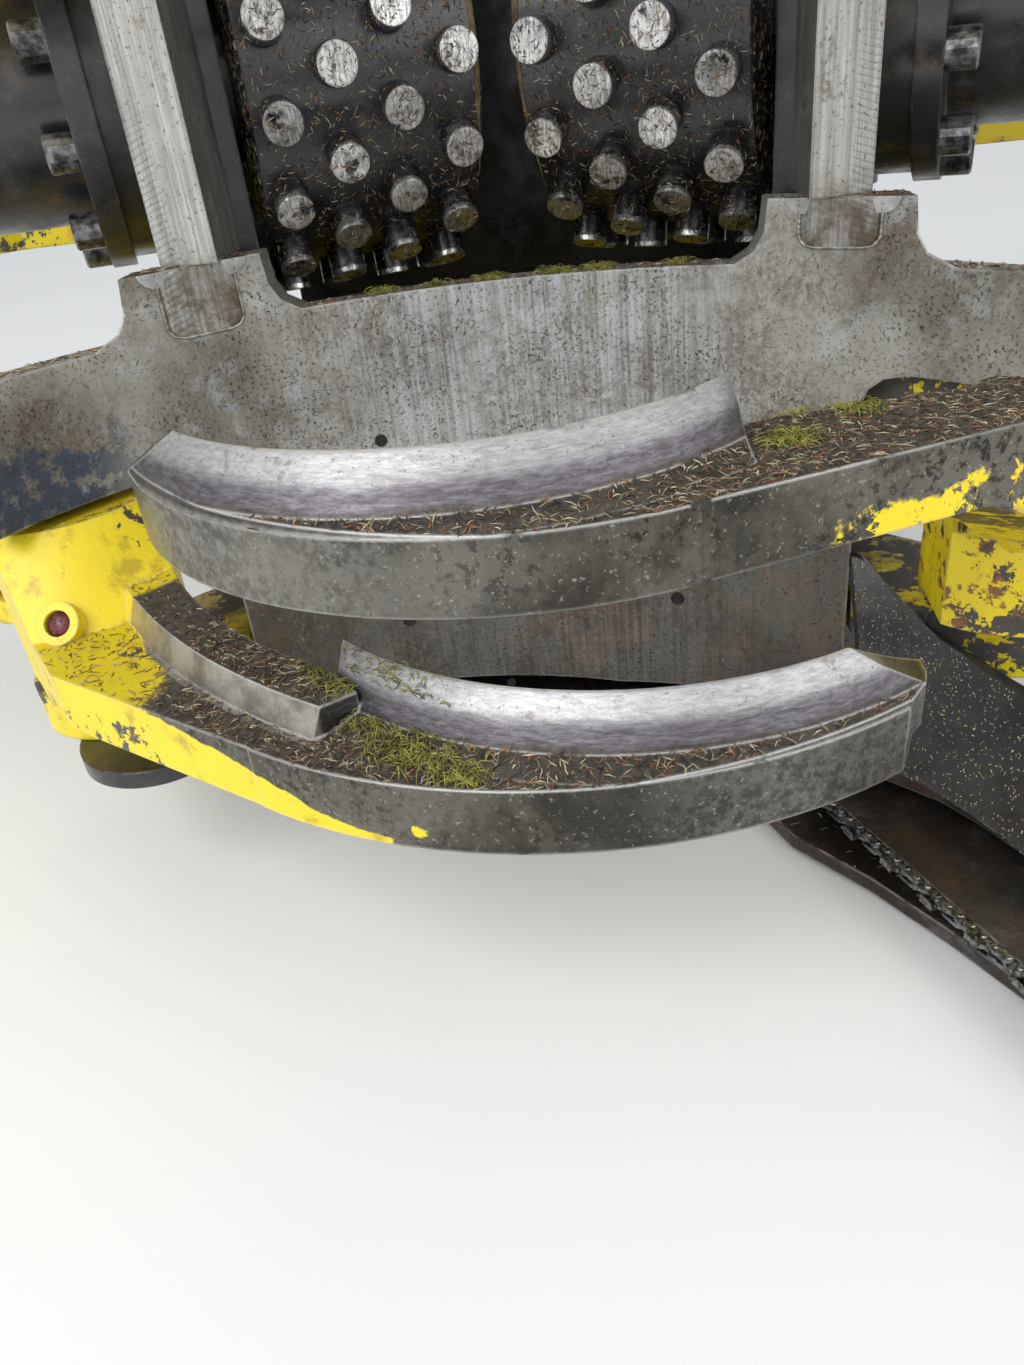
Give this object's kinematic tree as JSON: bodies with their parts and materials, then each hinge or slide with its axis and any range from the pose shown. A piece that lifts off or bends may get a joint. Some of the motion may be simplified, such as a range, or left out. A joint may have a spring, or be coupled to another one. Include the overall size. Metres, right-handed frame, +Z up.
{
  "type": "harvester head",
  "caption": "Felling and delimbing head with curved crossing knives, studded feed rollers, curved saddles, a chain saw bar and a tilting hanger.",
  "frame": {"origin": "centre of the hanger's flange face, where the crane's rotator is bolted on", "axes": "+Z up through the flange, -Y towards the trunk side, +X to the right seen from the trunk side"},
  "size_m": [1.7412, 1.176, 1.33],
  "materials": {
    "yellow": "worn",
    "steel": "worn",
    "blade": "worn",
    "dark": "oily",
    "chrome": "polished"
  },
  "bodies": {
    "hanger": {"hanger": "yellow", "tilt_lugs": "yellow", "tilt_pins": "chrome"},
    "frame": {"spine": "dark", "lower_saddle": "steel", "upper_saddle": "steel", "posts": "steel", "lower_hinge_plates": "yellow", "hinge_wear_plate": "dark", "upper_hinge_plates": "yellow", "roller_brackets": "dark", "arm_brackets": "dark", "feed_motors": "dark", "saw_box": "steel", "saw_guard": "steel", "saw_motor": "dark", "top_cover": "yellow", "top_knife": "steel", "knife_pins": "chrome", "arm_pins": "chrome", "valve_block": "dark"},
    "saw": {"saw_bar": "steel", "saw_chain": "dark"},
    "lower_knife_left": {"lower_knife_left": "blade"},
    "lower_knife_barrel_left": {"lower_knife_barrel_left": "dark"},
    "lower_knife_rod_left": {"lower_knife_rod_left": "chrome"},
    "lower_knife_right": {"lower_knife_right": "blade"},
    "lower_knife_barrel_right": {"lower_knife_barrel_right": "dark"},
    "lower_knife_rod_right": {"lower_knife_rod_right": "chrome"},
    "upper_knife_left": {"upper_knife_left": "blade"},
    "upper_knife_barrel_left": {"upper_knife_barrel_left": "dark"},
    "upper_knife_rod_left": {"upper_knife_rod_left": "chrome"},
    "upper_knife_right": {"upper_knife_right": "blade"},
    "upper_knife_barrel_right": {"upper_knife_barrel_right": "dark"},
    "upper_knife_rod_right": {"upper_knife_rod_right": "chrome"},
    "feed_arm_left": {"feed_arm_left": "yellow", "arm_motor_left": "dark"},
    "arm_roller_left": {"arm_roller_left": "dark"},
    "frame_roller_left": {"frame_roller_left": "dark"},
    "arm_barrel_left": {"arm_barrel_left": "dark"},
    "arm_rod_left": {"arm_rod_left": "chrome"},
    "feed_arm_right": {"feed_arm_right": "yellow", "arm_motor_right": "dark"},
    "arm_roller_right": {"arm_roller_right": "dark"},
    "frame_roller_right": {"frame_roller_right": "dark"},
    "arm_barrel_right": {"arm_barrel_right": "dark"},
    "arm_rod_right": {"arm_rod_right": "chrome"},
    "tilt_barrel": {"tilt_barrel": "dark"},
    "tilt_rod": {"tilt_rod": "chrome"}
  },
  "joints": [
    {"name": "head_tilt", "type": "hinge", "parent": "hanger", "child": "frame", "pos_m": [0, 0.32, -0.47], "axis": [1, 0, 0], "range_deg": [0, 90]},
    {"name": "lower_knife_left_open", "type": "hinge", "parent": "frame", "child": "lower_knife_left", "pos_m": [-0.345, -0.16, -1.095], "axis": [0, 0, 1], "range_deg": [-80, 0]},
    {"name": "lower_knife_left_barrel_turn", "type": "hinge", "parent": "frame", "child": "lower_knife_barrel_left", "pos_m": [-0.145, 0.225, -1.095], "axis": [0, 0, 1], "range_deg": [-0.5, 9.55]},
    {"name": "lower_knife_left_rod_slide", "type": "slide", "parent": "lower_knife_barrel_left", "child": "lower_knife_rod_left", "axis": [-0.6701, -0.7423, 0], "range_m": [-0.1326, 0.002]},
    {"name": "lower_knife_right_open", "type": "hinge", "parent": "frame", "child": "lower_knife_right", "pos_m": [0.345, -0.16, -1.095], "axis": [0, 0, 1], "range_deg": [0, 80]},
    {"name": "lower_knife_right_barrel_turn", "type": "hinge", "parent": "frame", "child": "lower_knife_barrel_right", "pos_m": [0.145, 0.225, -1.095], "axis": [0, 0, 1], "range_deg": [-9.55, 0.5]},
    {"name": "lower_knife_right_rod_slide", "type": "slide", "parent": "lower_knife_barrel_right", "child": "lower_knife_rod_right", "axis": [0.6701, -0.7423, 0], "range_m": [-0.1326, 0.002]},
    {"name": "upper_knife_left_open", "type": "hinge", "parent": "frame", "child": "upper_knife_left", "pos_m": [-0.345, -0.16, -0.524], "axis": [0, 0, 1], "range_deg": [-80, 0]},
    {"name": "upper_knife_left_barrel_turn", "type": "hinge", "parent": "frame", "child": "upper_knife_barrel_left", "pos_m": [-0.145, 0.225, -0.524], "axis": [0, 0, 1], "range_deg": [-0.5, 9.55]},
    {"name": "upper_knife_left_rod_slide", "type": "slide", "parent": "upper_knife_barrel_left", "child": "upper_knife_rod_left", "axis": [-0.6701, -0.7423, 0], "range_m": [-0.1326, 0.002]},
    {"name": "upper_knife_right_open", "type": "hinge", "parent": "frame", "child": "upper_knife_right", "pos_m": [0.345, -0.16, -0.524], "axis": [0, 0, 1], "range_deg": [0, 80]},
    {"name": "upper_knife_right_barrel_turn", "type": "hinge", "parent": "frame", "child": "upper_knife_barrel_right", "pos_m": [0.145, 0.225, -0.524], "axis": [0, 0, 1], "range_deg": [-9.55, 0.5]},
    {"name": "upper_knife_right_rod_slide", "type": "slide", "parent": "upper_knife_barrel_right", "child": "upper_knife_rod_right", "axis": [0.6701, -0.7423, 0], "range_m": [-0.1326, 0.002]},
    {"name": "feed_arm_left_close", "type": "hinge", "parent": "frame", "child": "feed_arm_left", "pos_m": [-0.3, 0.24, -0.783], "axis": [0, 0, 1], "range_deg": [0, 52]},
    {"name": "arm_left_barrel_turn", "type": "hinge", "parent": "frame", "child": "arm_barrel_left", "pos_m": [-0.078, 0.385, -0.783], "axis": [0, 0, 1], "range_deg": [-0.5, 6.95]},
    {"name": "arm_left_rod_slide", "type": "slide", "parent": "arm_barrel_left", "child": "arm_rod_left", "axis": [-0.9941, -0.1089, 0], "range_m": [-0.002, 0.103]},
    {"name": "feed_arm_right_close", "type": "hinge", "parent": "frame", "child": "feed_arm_right", "pos_m": [0.3, 0.24, -0.783], "axis": [0, 0, 1], "range_deg": [-52, 0]},
    {"name": "arm_right_barrel_turn", "type": "hinge", "parent": "frame", "child": "arm_barrel_right", "pos_m": [0.078, 0.385, -0.783], "axis": [0, 0, 1], "range_deg": [-6.95, 0.5]},
    {"name": "arm_right_rod_slide", "type": "slide", "parent": "arm_barrel_right", "child": "arm_rod_right", "axis": [0.9941, -0.1089, 0], "range_m": [-0.002, 0.103]},
    {"name": "frame_roller_left_spin", "type": "hinge", "parent": "frame", "child": "frame_roller_left", "pos_m": [-0.13717, 0.068, -0.783], "axis": [-0.9336, -0.3584, 0], "continuous": true},
    {"name": "arm_roller_left_spin", "type": "hinge", "parent": "feed_arm_left", "child": "arm_roller_left", "pos_m": [-0.72983, -0.16816, -0.783], "axis": [0.788, 0.6157, 0], "continuous": true},
    {"name": "frame_roller_right_spin", "type": "hinge", "parent": "frame", "child": "frame_roller_right", "pos_m": [0.13717, 0.068, -0.783], "axis": [0.9336, -0.3584, 0], "continuous": true},
    {"name": "arm_roller_right_spin", "type": "hinge", "parent": "feed_arm_right", "child": "arm_roller_right", "pos_m": [0.72983, -0.16816, -0.783], "axis": [-0.788, 0.6157, 0], "continuous": true},
    {"name": "tilt_barrel_turn", "type": "hinge", "parent": "frame", "child": "tilt_barrel", "pos_m": [0, 0.41, -0.91], "axis": [1, 0, 0], "range_deg": [-0.5, 5.97]},
    {"name": "tilt_rod_slide", "type": "slide", "parent": "tilt_barrel", "child": "tilt_rod", "axis": [0, 0.0408, 0.9992], "range_m": [-0.1693, 0.002]},
    {"name": "saw_swing", "type": "hinge", "parent": "frame", "child": "saw", "pos_m": [0.15, 0, -1.296], "axis": [0, 0, 1], "range_deg": [-85, 0]}
  ],
  "couplings": [
    {"joint": "lower_knife_left_open", "follows": "lower_knife_right_open", "ratio": -1},
    {"joint": "lower_knife_left_barrel_turn", "follows": "lower_knife_right_open", "ratio": 0.11307},
    {"joint": "lower_knife_left_rod_slide", "follows": "lower_knife_right_open", "m_per_rad": -0.093517},
    {"joint": "lower_knife_right_barrel_turn", "follows": "lower_knife_right_open", "ratio": -0.11307},
    {"joint": "lower_knife_right_rod_slide", "follows": "lower_knife_right_open", "m_per_rad": -0.093517},
    {"joint": "upper_knife_left_open", "follows": "upper_knife_right_open", "ratio": -1},
    {"joint": "upper_knife_left_barrel_turn", "follows": "upper_knife_right_open", "ratio": 0.11307},
    {"joint": "upper_knife_left_rod_slide", "follows": "upper_knife_right_open", "m_per_rad": -0.093517},
    {"joint": "upper_knife_right_barrel_turn", "follows": "upper_knife_right_open", "ratio": -0.11307},
    {"joint": "upper_knife_right_rod_slide", "follows": "upper_knife_right_open", "m_per_rad": -0.093517},
    {"joint": "feed_arm_left_close", "follows": "feed_arm_right_close", "ratio": -1},
    {"joint": "arm_left_barrel_turn", "follows": "feed_arm_right_close", "ratio": -0.12397},
    {"joint": "arm_left_rod_slide", "follows": "feed_arm_right_close", "m_per_rad": -0.11131},
    {"joint": "arm_right_barrel_turn", "follows": "feed_arm_right_close", "ratio": 0.12397},
    {"joint": "arm_right_rod_slide", "follows": "feed_arm_right_close", "m_per_rad": -0.11131},
    {"joint": "tilt_barrel_turn", "follows": "head_tilt", "ratio": 0.06076},
    {"joint": "tilt_rod_slide", "follows": "head_tilt", "m_per_rad": -0.10648}
  ]
}
